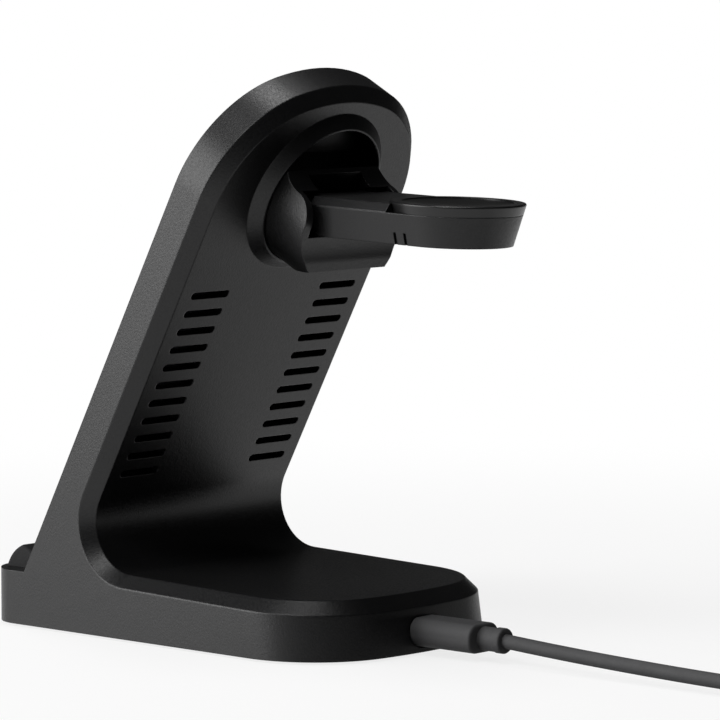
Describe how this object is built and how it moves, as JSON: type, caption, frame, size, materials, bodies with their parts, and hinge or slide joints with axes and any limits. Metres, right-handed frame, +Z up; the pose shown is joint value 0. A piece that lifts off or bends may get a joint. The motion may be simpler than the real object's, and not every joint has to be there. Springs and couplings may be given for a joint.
{
  "type": "three in one wireless charger",
  "caption": "Desk charging stand with a leaning phone back, a tilting watch arm with a round puck, a flat base for an earbud case, and a USB-C supply cable.",
  "frame": {"origin": "middle of the footprint on the table, under the rubber feet, with the free cable left out", "axes": "+Z up, +Y from the phone side to the rear where the cable plugs in, +X to the side the arm's blind cheek is on"},
  "size_m": [0.0806, 0.2519, 0.1409],
  "materials": {
    "housing": "fine matte moulded grain",
    "panel": "matte",
    "soft_rubber": "matte",
    "puck": "satin",
    "steel": "plain",
    "bearing": "natural acetal",
    "winding": "enamelled copper wire",
    "ferrite": "sintered",
    "magnet": "nickel plated",
    "board": "solder resist",
    "chip": "epoxy",
    "connector": "nickel plated",
    "cable": "matte jacket",
    "tie": "woven strap"
  },
  "bodies": {
    "stand": {"rear_shell": "housing", "bottom_cover": "housing", "arm_bracket": "housing", "front_panel": "panel", "ledge_pad": "soft_rubber", "rubber_feet": "soft_rubber", "bottom_screws": "steel", "bracket_screws": "steel", "hinge_pin": "steel", "phone_coil": "winding", "earbud_coil": "winding", "phone_ferrite": "ferrite", "earbud_ferrite": "ferrite", "main_board": "board", "board_chips": "chip", "usb_socket": "connector", "plug_shell": "connector", "far_plug_shell": "connector", "cable_plug": "cable", "cable_tube": "cable", "cable_coil": "cable", "far_plug": "cable", "cable_tie": "tie"},
    "watch_arm": {"arm_shell": "housing", "arm_deck": "housing", "arm_screws": "steel", "hinge_sleeve": "bearing", "puck_ring": "soft_rubber", "puck_face": "puck", "watch_coil": "winding", "watch_ferrite": "ferrite", "watch_magnet": "magnet"}
  },
  "joints": [
    {"name": "arm_tilt", "type": "hinge", "parent": "stand", "child": "watch_arm", "pos_m": [0, 0.01583, 0.10568], "axis": [1, 0, 0], "range_deg": [0, 14]}
  ]
}
